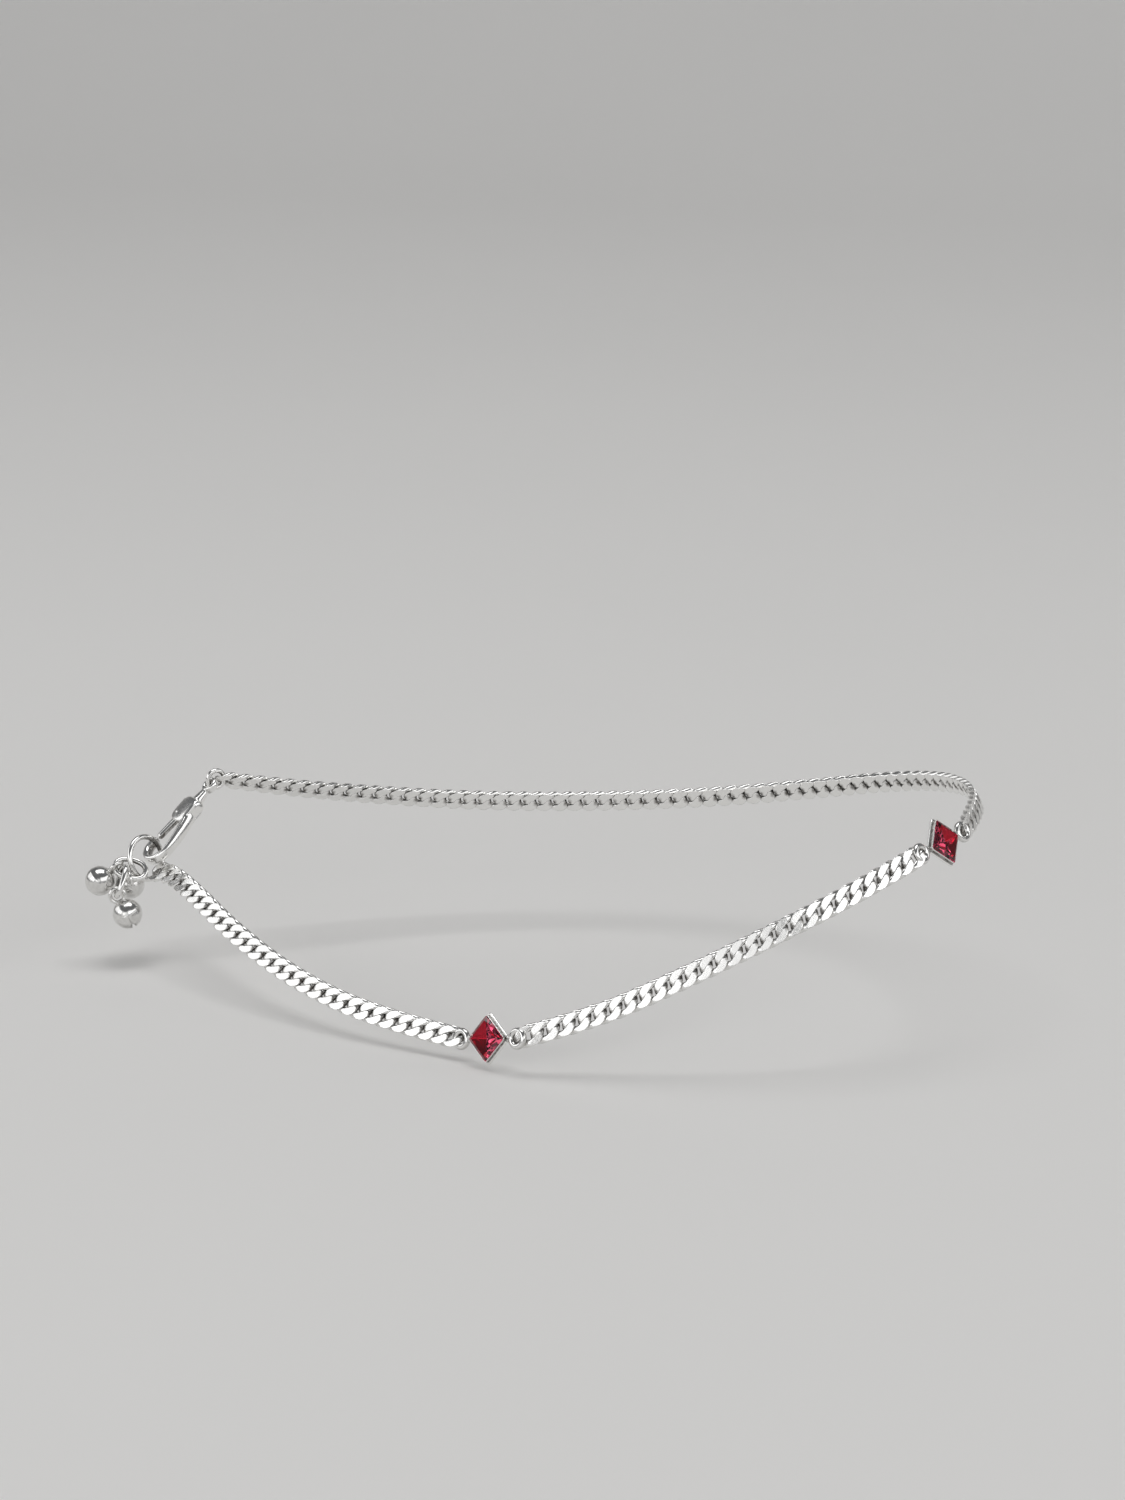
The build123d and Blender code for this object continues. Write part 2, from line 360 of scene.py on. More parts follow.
def quadratic_route(points, samples=60):
    """Clamped quadratic spline of control points: arcs that touch each run at its middle."""
    points = np.asarray(points, float)
    middles = (points[1:-2] + points[2:-1]) / 2
    starts = np.vstack([points[:1], middles])
    ends = np.vstack([middles, points[-1:]])
    t = np.linspace(0, 1, samples, endpoint=False)[None, :, None]
    bends = points[1:-1][:, None]
    arcs = (1 - t) ** 2 * starts[:, None] + 2 * t * (1 - t) * bends + t**2 * ends[:, None]
    return np.vstack([arcs.reshape(-1, 3), points[-1:]])


def along(curve):
    """Length along a curve at each of its points."""
    steps = np.linalg.norm(np.diff(curve, axis=0), axis=1)
    return np.concatenate([[0], np.cumsum(steps)])


def at_lengths(curve, lengths):
    """Points of a curve at given lengths along it."""
    run = along(curve)
    return np.stack([np.interp(lengths, run, part) for part in curve.T], axis=-1)


def smooth_line(knots, count, samples=40):
    """Even points of a smooth curve through given ones: uniform Catmull-Rom arcs."""
    p = np.asarray(knots, float)
    p = np.vstack([2 * p[:1] - p[1:2], p, 2 * p[-1:] - p[-2:-1]])
    a, b, c, d = (part[:, None] for part in (p[:-3], p[1:-2], p[2:-1], p[3:]))
    t = np.linspace(0, 1, samples, endpoint=False)[None, :, None]
    arcs = 0.5 * (
        2 * b + (c - a) * t + (2 * a - 5 * b + 4 * c - d) * t**2 + (3 * b - a - 3 * c + d) * t**3
    )
    line = np.vstack([arcs.reshape(-1, p.shape[1]), p[-2:-1]])
    return at_lengths(line, np.linspace(0, along(line)[-1], count))


def superellipse(angle, exponent):
    """Cosine and sine of an angle raised to 2 / exponent, their signs kept."""
    power = 2 / exponent
    c, s = np.cos(angle), np.sin(angle)
    return np.sign(c) * np.abs(c) ** power, np.sign(s) * np.abs(s) ** power


def flat_tube(line, half_width, half_height, sides, exponent=2.0, closed=False, cap=8):
    """Tube round a line in the XY plane: line + w cos v times the line's left + h sin v times Z.

    The widths may vary along the line; an open tube's ends are drawn in to a point by a
    quarter circle of cap steps, so that they are round.
    """
    count = len(line)
    w = np.broadcast_to(half_width, (count,)).astype(float)
    h = np.broadcast_to(half_height, (count,)).astype(float)
    line = np.column_stack([line, np.zeros(count)])
    if closed:
        way = unit(np.roll(line, -1, axis=0) - np.roll(line, 1, axis=0))
    else:
        way = unit(np.gradient(line, axis=0))
        turn = np.linspace(pi / 2, 0, cap + 1)[:-1, None]
        head = line[:1] - way[:1] * w[0] * np.sin(turn)
        tail = line[-1:] + way[-1:] * w[-1] * np.sin(turn)
        line = np.vstack([head, line, tail[::-1]])
        way = np.vstack([np.repeat(way[:1], cap, 0), way, np.repeat(way[-1:], cap, 0)])
        draw = np.cos(turn[:, 0])
        draw[0] = 0
        w = np.concatenate([w[0] * draw, w, w[-1] * draw[::-1]])
        h = np.concatenate([h[0] * draw, h, h[-1] * draw[::-1]])
    left = unit(np.cross([0, 0, 1], way))
    c, s = superellipse(full_turn(sides), exponent)
    side = left[:, None] * (w[:, None] * c)[..., None]
    rise = np.array([0, 0, 1.0]) * (h[:, None] * s)[..., None]
    return line[:, None] + side + rise


def ring_surface(radius, half_width, count, sides, half_height=None, exponent=2.0):
    """Ring round Z: a closed flat tube along a circle, as high as wide unless told."""
    u = full_turn(count)
    circle = np.stack([radius * np.cos(u), radius * np.sin(u)], axis=-1)
    height = half_width if half_height is None else half_height
    return flat_tube(circle, half_width, height, sides, exponent, closed=True)


def squared_turn(half_sides, heights, exponents, count=120, crowding=0.6):
    """Outline carried round a square with soft corners, the corners on X and Y.

    At angle a from the middle of a side the surface stands r / (|cos a|^p + |sin a|^p)^(1/p)
    from the middle, r the half side and p the exponent. The angles are u + k/4 sin 4u for
    even u, which crowds them towards the corners by k.
    """
    r, z, p = (np.array(part, float)[:, None] for part in (half_sides, heights, exponents))
    u = full_turn(count)[None]
    a = u + crowding / 4 * np.sin(4 * u)
    reach = r / (np.abs(np.cos(a)) ** p + np.abs(np.sin(a)) ** p) ** (1 / p)
    x, y = reach * np.cos(a + pi / 4), reach * np.sin(a + pi / 4)
    return np.stack([x, y, np.broadcast_to(z, x.shape)], axis=-1)


def rounded_block(half, exponent, middle, count=28):
    """Superellipsoid: middle plus half sizes times powers of cosines and sines of two angles."""
    cu, su = superellipse(full_turn(2 * count)[None], exponent)
    cv, sv = superellipse(np.linspace(-pi / 2, pi / 2, count)[:, None], exponent)
    cv = np.abs(cv)
    cv[0] = cv[-1] = 0
    x, y = half[0] * cv * cu, half[1] * cv * su
    return np.stack([x, y, half[2] * np.broadcast_to(sv, x.shape)], axis=-1) + middle


def curb_link(chain, angles=40, sides=14):
    """Curb link: middle line (a cos t, b sin t, -c sin 2t) with a wire that spreads sideways by
    s |sin 2t|, shoulders pressed flat by the soft clamp z / (1 + |z / f|^n)^(1/n), and all
    of it slanted by x + k y."""
    t = full_turn(angles)[:, None]
    a, b, c = chain.half_length, chain.half_width, chain.twist
    centre = np.concatenate([a * np.cos(t), b * np.sin(t), -c * np.sin(2 * t)], axis=1)
    way = unit(np.concatenate([-a * np.sin(t), b * np.cos(t), -2 * c * np.cos(2 * t)], axis=1))
    out = np.concatenate([b * np.cos(t), a * np.sin(t), 0 * t], axis=1)
    out = unit(out - way * np.sum(out * way, axis=1, keepdims=True))
    up = np.cross(way, out)
    v = full_turn(sides)[None, :, None]
    high = chain.wire / 2
    wide = (high + chain.spread * np.abs(np.sin(2 * t)))[:, None]
    points = centre[:, None] + wide * np.cos(v) * out[:, None] + high * np.sin(v) * up[:, None]
    z = points[..., 2]
    points[..., 2] = z / (1 + np.abs(z / chain.flat) ** PRESS) ** (1 / PRESS)
    points[..., 0] += chain.slant * points[..., 1]
    return points


# ------------------------------------------------------------------ meshes


def wire_shade_and_tarnish(sides):
    """Darkness round a ring's wire: 0.08 + 0.75 (1.8 cos v - 0.6), the bracket held from 0 to 1: a
    light even tarnish, and painted shade on the side that looks at the ring's middle."""
    return 0.08 + 0.75 * np.clip(np.cos(full_turn(sides))[None] * 1.8 - 0.6, 0, 1)


def quads(rows, columns, closed_rows):
    """Quads of a grid whose columns close on themselves, and its rows too if asked."""
    r = np.arange(rows if closed_rows else rows - 1)[:, None]
    c = np.arange(columns)[None]
    r2, c2 = (r + 1) % rows, (c + 1) % columns
    corners = [r * columns + c, r * columns + c2, r2 * columns + c2, r2 * columns + c]
    return np.stack(np.broadcast_arrays(*corners), axis=-1).reshape(-1, 4)


def enclosed(points, faces):
    """Six times the volume that faces enclose, below zero where they point inwards."""
    p = points[faces]
    first = np.einsum("ij,ij->i", p[:, 0], np.cross(p[:, 1], p[:, 2]))
    return (first + np.einsum("ij,ij->i", p[:, 0], np.cross(p[:, 2], p[:, 3]))).sum()


def shell(grid, closed=False, patina=0.0):
    """A grid surface made ready: its points, its outward quads and its darkness, painted shade with
    tarnish.
    """
    rows, columns = grid.shape[:2]
    points = grid.reshape(-1, 3)
    faces = quads(rows, columns, closed)
    if enclosed(points - points.mean(axis=0), faces) < 0:
        faces = faces[:, ::-1]
    dark = np.broadcast_to(patina, (rows, columns)).reshape(-1)
    return points, faces, dark


def seated(shells, placing):
    """Shells carried to a seat."""
    return [(placed(points, placing), faces, dark) for points, faces, dark in shells]


def make_piece(name, shells, finish, node, body=BODY, smooth=True):
    """One mesh object from grid shells, riding on its body in place of a node."""
    points, faces, dark, base = [], [], [], 0
    for part_points, part_faces, part_dark in shells:
        points.append(part_points)
        faces.append(part_faces + base)
        dark.append(part_dark)
        base += len(part_points)
    mesh = bpy.data.meshes.new(name)
    mesh.from_pydata(np.concatenate(points) * MM, [], np.concatenate(faces))
    # Each point's darkness, painted shade with tarnish, is kept for the silver's colour
    shade = mesh.attributes.new("patina", "FLOAT", "POINT")
    shade.data.foreach_set("value", np.concatenate(dark).astype(np.float32))
    work = bmesh.new()
    work.from_mesh(mesh)
    bmesh.ops.remove_doubles(work, verts=work.verts, dist=1e-8)
    bmesh.ops.dissolve_degenerate(work, edges=work.edges, dist=1e-8)
    work.to_mesh(mesh)
    work.free()
    mesh.polygons.foreach_set("use_smooth", np.full(len(mesh.polygons), smooth))
    mesh.materials.append(material(finish))
    piece = bpy.data.objects.new(name, mesh)
    bpy.context.scene.collection.objects.link(piece)
    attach(piece, body)
    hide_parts(node)
    return piece


def melt_together(piece):
    """Melt a piece's overlapping shells into one skin and ease its inner corners."""
    remesh = piece.modifiers.new("melt", "REMESH")
    remesh.mode, remesh.voxel_size = "VOXEL", CAST_VOXEL * MM
    remesh.use_smooth_shade = True
    ease = piece.modifiers.new("ease", "SMOOTH")
    ease.factor, ease.iterations = 0.5, CAST_EASING
    graph = bpy.context.evaluated_depsgraph_get()
    melted = bpy.data.meshes.new_from_object(piece.evaluated_get(graph), depsgraph=graph)
    piece.modifiers.clear()
    old = piece.data
    melted.name = old.name
    piece.data = melted
    bpy.data.meshes.remove(old)


def darken_hollow(mesh, start, end):
    """Painted shade in a hollow: 0.9 (1.5 n.d - 0.45), the bracket held from 0 to 1, where n is a
    point's normal and d the way to the nearest place on the line through the hollow."""
    points, normals = (np.empty(3 * len(mesh.vertices)) for _ in range(2))
    mesh.vertices.foreach_get("co", points)
    mesh.vertices.foreach_get("normal", normals)
    points, normals = points.reshape(-1, 3) / MM, normals.reshape(-1, 3)
    way = end - start
    share = np.clip((points - start) @ way / (way @ way), 0, 1)[:, None]
    toward = unit(start + share * way - points)
    dark = 0.9 * np.clip(1.5 * np.sum(normals * toward, axis=1) - 0.45, 0, 1)
    shade = mesh.attributes.get("patina") or mesh.attributes.new("patina", "FLOAT", "POINT")
    shade.data.foreach_set("value", dark.astype(np.float32))


# ------------------------------------------------------------------ materials


class Nodes:
    """Short hand for building one material's nodes. A value is a number, a colour or another
    node's output."""

    def __init__(self, name):
        self.material = bpy.data.materials.new(name)
        self.material.use_nodes = True
        self.tree = self.material.node_tree
        self.shader = self.tree.nodes["Principled BSDF"]
        self.place = self.add("ShaderNodeTexCoord").outputs["Object"]

    def add(self, kind, **options):
        """A new node with its options set."""
        node = self.tree.nodes.new(kind)
        for key, value in options.items():
            setattr(node, key, value)
        return node

    def feed(self, node, **values):
        """Give values to a node's inputs, an underscore in a name standing for a space."""
        for key, value in values.items():
            self.feed_one(node.inputs[key.replace("_", " ")], value)
        return node

    def feed_one(self, socket, value):
        """Link an input to an output, or set it."""
        if isinstance(value, bpy.types.NodeSocket):
            self.tree.links.new(value, socket)
        else:
            socket.default_value = value

    def noise(self, scale, detail, place=None):
        """Noise over the object's own coordinates, or over a place of its own."""
        place = self.place if place is None else place
        node = self.feed(self.add("ShaderNodeTexNoise"), Vector=place, Scale=scale, Detail=detail)
        return node.outputs["Fac"]

    def math(self, operation, *values, clamp=False):
        """Result of one sum."""
        node = self.add("ShaderNodeMath", operation=operation, use_clamp=clamp)
        for socket, value in zip(node.inputs, values):
            self.feed_one(socket, value)
        return node.outputs[0]

    def mix(self, factor, first, second):
        """Colour between two."""
        node = self.add("ShaderNodeMix", data_type="RGBA")
        self.feed(node, Factor=factor, A=(*first, 1), B=(*second, 1))
        return node.outputs["Result"]

    def to_range(self, value, low, high, start=0.0, end=1.0):
        """A value from start to end carried to low to high."""
        node = self.add("ShaderNodeMapRange")
        self.feed(node, Value=value, From_Min=start, From_Max=end, To_Min=low, To_Max=high)
        return node.outputs["Result"]


def silver_material(name, metal, smoothest, roughest, scratch):
    """Polished silver: clean colour, hollows darkened by painted shade and tarnish, roughness
    patches and fine scratches.
    """
    n = Nodes(name)
    hollow = n.add("ShaderNodeAttribute", attribute_name="patina").outputs["Fac"]
    # Painted shade with tarnish in the hollows, mottled by noise, darkens the silver's colour and
    # roughens it
    mottled_shade_and_tarnish = n.math("MULTIPLY", hollow, n.noise(scale=2600.0, detail=6.0))
    shade_and_tarnish_amount = n.math("MULTIPLY", mottled_shade_and_tarnish, 1.7, clamp=True)
    patches = n.to_range(n.noise(scale=900.0, detail=5.0), smoothest, roughest, 0.3, 0.7)
    drawn = n.feed(
        n.add("ShaderNodeMapping"), Vector=n.place, Rotation=(0.6, 0.3, 0.9), Scale=(1.0, 6.0, 6.0)
    )
    marks = n.noise(scale=3500.0, detail=4.0, place=drawn.outputs[0])
    relief = n.math("ADD", marks, n.noise(scale=1500.0, detail=3.0))
    bump = n.feed(n.add("ShaderNodeBump"), Height=relief, Strength=scratch, Distance=0.02 * MM)
    n.feed(
        n.shader, Base_Color=n.mix(shade_and_tarnish_amount, metal.silver, metal.tarnish_and_shade_colour), Metallic=1.0,
        Roughness=n.math("MULTIPLY_ADD", shade_and_tarnish_amount, 0.22, patches), Normal=bump.outputs["Normal"],
    )
    return n.material


def stone_material(name, tint):
    """Clear red stone: slight colour zones and a polish that is softer in places."""
    n = Nodes(name)
    deeper = (tint[0] * 0.86, tint[1] * 0.5, tint[2] * 0.7)
    n.feed(
        n.shader, Base_Color=n.mix(n.noise(scale=700.0, detail=2.0), tint, deeper),
        Roughness=n.to_range(n.noise(scale=5000.0, detail=4.0), 0.0, 0.06),
        Transmission_Weight=1.0, IOR=1.62,
    )
    return n.material


def backdrop_material(name, paper):
    """Matt paper of the floor and backdrop, with the faintest mottle."""
    n = Nodes(name)
    mottle = [0.97 * part for part in paper]
    n.feed(n.shader, Base_Color=n.mix(n.noise(scale=9.0, detail=4.0), paper, mottle), Roughness=0.9)
    return n.material


def material(name):
    """A finish by name, made the first time that it is asked for."""
    scene = bpy.context.scene
    if name in bpy.data.materials:
        return bpy.data.materials[name]
    if name == STONE_FINISH:
        return stone_material(name, scene.anklet_stone.tint)
    if name == PAPER_FINISH:
        return backdrop_material(name, scene.anklet_stage.floor)
    return silver_material(name, scene.anklet_metal, *SILVER_FINISHES[name])


# ------------------------------------------------------------------ chain


def loop_wire_end(placing, side, wire):
    """Where a route ends at a station: the middle of the end link's wire as it hangs in the
    far side of the station's loop."""
    inward = LOOP_REACH + LOOP_RADIUS - LOOP_HALF_WIRE - LOOP_PLAY - wire / 2
    return placed((side * inward, 0, LOOP_HEIGHT), placing)


def ring_wire_end(placing, radius, clear, toward):
    """Where a route ends inside a ring, and the direction of the ring's wire there.

    The wire is met at the ring's middle plus its radius times the way to the route's next
    point, with the part of that way along the ring's axis taken away; the route ends that
    clear distance behind it.
    """
    centre, axes = seat_axes(placing)
    way = toward - centre
    out = unit(way - axes[2] * (way @ axes[2]))
    met = centre + out * radius
    return met - unit(toward - met) * clear, np.cross(axes[2], out)


def lean_axes(curve, lengths, leans, half_span=0.9):
    """Axes of a flat chain along a curve: along it over half a span each way, across it, and
    its face, which is the level outward way turned up by the lean."""
    centres = at_lengths(curve, lengths)
    x = unit(at_lengths(curve, lengths + half_span) - at_lengths(curve, lengths - half_span))
    level = unit(np.cross(x, [0, 0, 1.0]))
    level *= np.sign(np.sum(level * centres * [1, 1, 0], axis=1, keepdims=True))
    rise = np.cross(x, level)
    rise *= np.sign(rise[:, 2:])
    shares = lengths / along(curve)[-1]
    lean = np.radians(np.interp(shares, np.linspace(0, 1, len(leans)), leans))[:, None]
    z = np.cos(lean) * level + np.sin(lean) * rise
    return centres, x, np.cross(z, x), z


def end_roll(x, y, z, wire, slope):
    """Angle that an end link rolls by so that its end wire crosses a ring's wire squarely.

    The end wire lies along y cos s + z sin s, s the slope of the twist; the way wanted is
    square to the ring's wire and to x. Half a turn changes nothing on a link, and it may
    cross up to CROSSING_PLAY off square.
    """
    want = np.cross(x, wire)
    angle = (np.arctan2(want @ z, want @ y) - slope + pi / 2) % pi - pi / 2
    return np.sign(angle) * max(abs(angle) - CROSSING_PLAY, 0)


def link_shade_and_tarnish(link, chain):
    """Painted shade with tarnish on a link: darkness on the low part of its wire, most near the
    chain's middle line, and on the outer face of its two ends, each by a slope held from 0 to 1."""
    beyond, aside, height = np.abs(link).transpose(2, 0, 1)
    depth = np.clip((0.92 * chain.flat - height) / (0.4 * chain.flat), 0, 1)
    inside = np.clip(1.9 - aside / (0.5 * chain.half_width), 0, 1)
    facing = np.clip((beyond - chain.half_length - 0.06) / 0.14, 0, 1)
    return np.maximum(depth * (0.15 + 0.85 * inside), facing * np.clip(1.5 - aside / 0.4, 0, 1))


def chain_shell(route, leans, first_wire, last_wire, chain):
    """All links of one stretch of chain along its route, as one set of points and faces.

    A link's points are its place plus x, y and z times the chain's axes there, with y and z
    turned by the link's roll.
    """
    curve = quadratic_route(route)
    room = along(curve)[-1] - 2 * chain.half_length
    count = int(round(room / chain.pitch)) + 1
    lengths = chain.half_length + np.linspace(0, room, count)
    centres, x, y, z = lean_axes(curve, lengths, leans)
    slope = np.arctan2(2 * chain.twist, chain.half_width)
    shared = len(ROLL_SHARES)
    roll = np.zeros(count)
    roll[:shared] += end_roll(x[0], y[0], z[0], first_wire, slope) * ROLL_SHARES
    roll[-shared:] += end_roll(x[-1], y[-1], z[-1], last_wire, -slope) * ROLL_SHARES[::-1]
    turn_y = np.cos(roll)[:, None] * y + np.sin(roll)[:, None] * z
    turn_z = np.cos(roll)[:, None] * z - np.sin(roll)[:, None] * y
    axes = np.stack([x, turn_y, turn_z], axis=1)
    link = curb_link(chain)
    link_points, link_faces, dark = shell(link, True, link_shade_and_tarnish(link, chain))
    points = centres[:, None] + np.einsum("pk,nkj->npj", link_points, axes)
    starts = np.arange(count) * len(link_points)
    faces = (link_faces[None] + starts[:, None, None]).reshape(-1, 4)
    return points.reshape(-1, 3), faces, np.tile(dark, count)


# ------------------------------------------------------------------ cups and stones


def setting_shells(sides=16):
    """Square cup: base rim, upright wall, lip rolled over the stone, and two loops, whose wire has
    painted shade where it looks along their radius."""
    half_sides, heights, exponents, dark = zip(*CUP_OUTLINE)
    cup = squared_turn(half_sides, heights, exponents)
    cup[0, :, :2] = cup[-1, :, :2] = 0
    shells = [shell(cup, patina=np.array(dark)[:, None])]
    loop = ring_surface(LOOP_RADIUS, LOOP_HALF_WIRE, 56, sides)
    # Painted shade on the inner and outer sides of the loops' wire
    loop_side_shade = 0.9 * np.clip(np.abs(np.cos(full_turn(sides))) - 0.55, 0, 1)[None]
    for side in (-1, 1):
        shells.append(shell(loop + [side * LOOP_REACH, 0, LOOP_HEIGHT], True, loop_side_shade))
        solder = rounded_block(SOLDER_HALF, 2.6, (side * SOLDER_REACH, 0, SOLDER_HEIGHT), 20)
        shells.append(shell(solder, patina=0.35))
    return shells


def stone_grid(stone):
    """Cut stone as rings of four corners and four side middles: table, girdle, pavilion.

    A ring has the half side of its corners, the reach of its side middles, and the height of
    both; its points stand at eighths of a turn.
    """
    s, t = stone.half_side, stone.table
    rings = np.array([
        (0, 0, 1.70, 1.70),
        (t, t, 1.70, 1.70),
        (s * 0.97, s, 1.34, 1.34),
        (s * 0.97, s, 1.24, 1.24),
        (1.15, 0.85, 0.92, 0.93),
        (0, 0, 0.60, 0.60),
    ])
    at_corner, at_side, corner_height, side_height = rings.T[..., None]
    corner = np.arange(8) % 2 == 0
    reach = np.where(corner, at_corner * 2**0.5, at_side)
    height = np.where(corner, corner_height, side_height)
    a = full_turn(8)
    return np.stack([reach * np.cos(a), reach * np.sin(a), height], axis=-1)


# ------------------------------------------------------------------ clasp


def clasp_body_shells(steps=80, neck_steps=20):
    """Lobster clasp without its lever: hook, slotted shoulder with its two cheeks, neck, eye
    and pin."""
    share = np.linspace(0, 1, steps)
    hook_width = np.interp(share, *zip(*HOOK_HALF_WIDTHS))
    hook_height = np.interp(share, *zip(*HOOK_HALF_HEIGHTS))
    hook = flat_tube(smooth_line(HOOK_KNOTS, steps), hook_width, hook_height, 28, 2.4)
    shoulder = rounded_block((1.95, 0.72, 0.98), 3.2, (-0.78, 0.86, 0))
    left_cheek = rounded_block((1.92, 1.62, 0.235), 2.9, (-0.75, 0, -0.755))
    right_cheek = rounded_block((1.92, 1.62, 0.235), 2.9, (-0.75, 0, 0.755))
    neck_line = np.linspace([-1.9, 0.15], [-4.6, 0.0], neck_steps)
    neck_width, neck_height = np.linspace([0.85, 0.85], [0.5, 0.44], neck_steps).T
    neck = flat_tube(neck_line, neck_width, neck_height, 24, 2.3)
    eye = ring_surface(0.86, 0.28, 64, 20, half_height=0.5, exponent=2.3) + CLASP_EYE
    pin = rounded_block((0.33, 0.33, 1.06), 2.6, CLASP_PIN, 24)
    before_eye = [shell(part) for part in (hook, shoulder, left_cheek, right_cheek, neck)]
    return [*before_eye, shell(eye, True), shell(pin)]


def clasp_lever_shells(arm_steps=40, tab_steps=30):
    """Sprung lever: arm to the hook's tip, root round the pin, and curved thumb tab."""
    arm_width, arm_height = np.linspace([0.62, 0.4], [0.46, 0.42], arm_steps).T
    arm = flat_tube(smooth_line(ARM_KNOTS, arm_steps), arm_width, arm_height, 24, 2.8)
    root = rounded_block((0.84, 0.84, 0.4), 2.6, CLASP_PIN)
    tab_width = np.interp(np.linspace(0, 1, tab_steps), *zip(*TAB_HALF_WIDTHS))
    tab_height = np.linspace(0.4, 0.46, tab_steps)
    tab = flat_tube(smooth_line(TAB_KNOTS, tab_steps), tab_width, tab_height, 24, 2.8)
    return [shell(part) for part in (arm, root, tab)]


# ------------------------------------------------------------------ drop


def oval_line(long, wide, count=96):
    """Even points of an oval link's middle line: a superellipse of exponent 2.3."""
    c, s = superellipse(full_turn(count), 2.3)
    line = np.stack([long / 2 * c, wide / 2 * s], axis=-1)
    line = np.vstack([line, line[:1]])
    return at_lengths(line, np.linspace(0, along(line)[-1], count, endpoint=False))


def bell_ball(radius, latitude, angle):
    """Ball with its poles on X: sin of the latitude along X, and its cos times sin and -cos
    of the meridian's angle along Y and Z, all times the radius."""
    x = radius * np.sin(latitude) * np.ones_like(angle)
    y = radius * np.cos(latitude) * np.sin(angle)
    z = -radius * np.cos(latitude) * np.cos(angle)
    return np.stack([x, y, z], axis=-1)


def bell_shells(bell):
    """Ball with a slit, its loop, and the foot that the loop stands on.

    Meridian angles run from one lip of the slit to the other, d + u (2 pi - 2 d). The half
    angle d is half the slit over the radius, over the cosine of the latitude, times the root
    of 1 - (latitude / the slit's end)^8. The lips and the seam of the two halves stand proud.
    """
    latitude = np.linspace(-pi / 2, pi / 2, 65)[:, None]
    u = np.linspace(0, 1, 96)[None]
    from_lip = np.minimum(u, 1 - u)
    opening = np.clip(1 - (np.abs(latitude) / SLIT_END) ** 8, 0, 1) ** 0.5
    half_slit = bell.slit / 2 / bell.radius * opening / np.maximum(np.cos(latitude), 0.3)
    angle = half_slit + u * (2 * pi - 2 * half_slit)
    lip = 0.02 * np.sin(pi * np.clip(from_lip * 30, 0, 1))
    seam = 0.035 * np.exp(-(((np.cos(angle) * np.cos(latitude)) / 0.035) ** 2))
    outer = bell_ball(bell.radius + seam + lip, latitude, angle)
    inner = bell_ball(bell.radius - bell.wall, latitude, angle)
    ball = np.concatenate([outer, inner[:, ::-1]], axis=1)
    # Darkness of the ball: a light even tarnish outside, painted shade along the slit's lips, and
    # painted shade over the whole inside of the ball
    outer_tarnish_and_shade = 0.2 + 0.4 * np.exp(-((from_lip / 0.02) ** 2)) + 0 * latitude
    dark = np.concatenate([outer_tarnish_and_shade, np.full_like(outer_tarnish_and_shade, 0.9)], axis=1)
    ring = ring_surface(bell.loop_radius, bell.loop_wire / 2, 48, 14)
    loop = ring[..., [2, 0, 1]] + [0, 0, BELL_RISE]
    foot = rounded_block((0.34, 0.55, 0.16), 2.2, (0, 0, bell.radius + 0.03), 16)
    return [shell(ball, patina=dark), shell(loop, True, 0.15), shell(foot, patina=0.5)]


def bell_placing(ball, loop, axis):
    """Seat of a bell: its ball stands a fixed rise under the middle of its loop."""
    up = unit(np.subtract(loop, ball))
    return np.array(loop) - BELL_RISE * up, axis, up


# ------------------------------------------------------------------ operators


class ANKLET_OT_chain(bpy.types.Operator):
    """Curb chain in its three stretches"""

    bl_idname = "anklet.chain"
    bl_label = "Curb chain"

    def execute(self, context):
        chain = in_mm(context.scene.anklet_chain)
        rings = in_mm(context.scene.anklet_findings)
        heel_start, heel_wire = ring_wire_end(
            JUMP_RING_SEAT, rings.jump_radius, (rings.jump_wire + chain.wire) / 2, HEEL_ROUTE[0]
        )
        far_end, far_wire = ring_wire_end(
            END_RING_SEAT, rings.end_radius, (rings.end_wire + chain.wire) / 2, FAR_ROUTE[-1]
        )
        ends = {
            (name, side): loop_wire_end(placing, side, chain.wire)
            for name, placing in STATIONS.items() for side in (-1, 1)
        }
        across = {name: seat_axes(placing)[1][1] for name, placing in STATIONS.items()}
        heel = [heel_start, *HEEL_ROUTE, ends["side", -1]]
        side = [ends["side", 1], *SIDE_ROUTE, ends["front", -1]]
        far = [ends["front", 1], *FAR_ROUTE, far_end]
        for name, route, leans, first_wire, last_wire in (
            ("heel", heel, HEEL_LEAN, heel_wire, across["side"]),
            ("side", side, SIDE_LEAN, across["side"], across["front"]),
            ("far", far, FAR_LEAN, across["front"], far_wire),
        ):
            links = chain_shell(route, leans, first_wire, last_wire, chain)
            make_piece(
                f"{name}_curb_chain", [links], "bright silver chain", f"chain_{name}"
            )
        return {"FINISHED"}


class ANKLET_OT_settings(bpy.types.Operator):
    """Square cups with their soldered loops"""

    bl_idname = "anklet.settings"
    bl_label = "Stone settings"

    def execute(self, context):
        for name, placing in STATIONS.items():
            make_piece(
                f"{name}_stone_cup", seated(setting_shells(), placing), "soldered silver cup",
                f"setting_{name}",
            )
        return {"FINISHED"}


class ANKLET_OT_stones(bpy.types.Operator):
    """Square faceted red stones"""

    bl_idname = "anklet.stones"
    bl_label = "Red stones"

    def execute(self, context):
        grid = stone_grid(in_mm(context.scene.anklet_stone))
        for name, placing in STATIONS.items():
            make_piece(
                f"{name}_red_stone", seated([shell(grid)], placing), STONE_FINISH,
                f"stone_{name}", smooth=False,
            )
        return {"FINISHED"}


